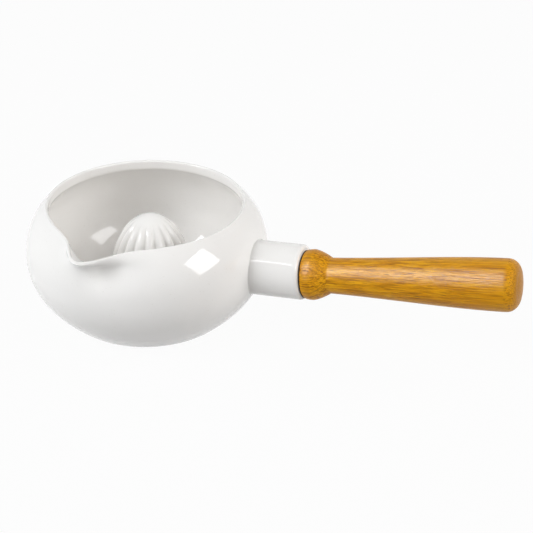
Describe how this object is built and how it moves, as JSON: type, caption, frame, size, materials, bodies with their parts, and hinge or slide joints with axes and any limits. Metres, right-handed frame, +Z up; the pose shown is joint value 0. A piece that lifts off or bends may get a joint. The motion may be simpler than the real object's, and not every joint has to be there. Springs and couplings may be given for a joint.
{
  "type": "citrus juicer",
  "caption": "Glazed ceramic citrus juicer: round-bellied bowl with a pinched pouring spout, a ribbed reamer dome inside and a turned wooden grip screwed into a ceramic socket.",
  "frame": {"origin": "middle of the bowl's flat foot, on the surface it stands on", "axes": "+Z up along the bowl's axis, +X towards the grip (which rises by 7.2 degrees), spout 96 degrees clockwise from the grip seen from above"},
  "size_m": [0.2687, 0.1343, 0.064],
  "materials": {
    "bowl_glaze": "gloss",
    "sleeve_brass": "satin",
    "cement": "matte",
    "washer_fibre": "matte",
    "bolt_steel": "satin",
    "varnished_wood": "satin"
  },
  "bodies": {
    "bowl": {"juicer_bowl": "bowl_glaze", "reamer_cone": "bowl_glaze", "handle_socket": "bowl_glaze", "threaded_sleeve": "sleeve_brass", "sleeve_cement": "cement"},
    "washer": {"sealing_washer": "washer_fibre"},
    "handle": {"handle_grip": "varnished_wood", "hanger_bolt": "bolt_steel"}
  },
  "joints": [
    {"name": "thread_travel", "type": "slide", "parent": "bowl", "child": "washer", "axis": [0.9921, 0, 0.1253], "range_m": [0, 0.0088]},
    {"name": "grip_unscrew", "type": "hinge", "parent": "washer", "child": "handle", "pos_m": [0.09008, 0, 0.03678], "axis": [0.9921, 0, 0.1253], "range_deg": [0, 2520]}
  ],
  "couplings": [
    {"joint": "thread_travel", "follows": "grip_unscrew", "m_per_rad": 0.00019894}
  ]
}
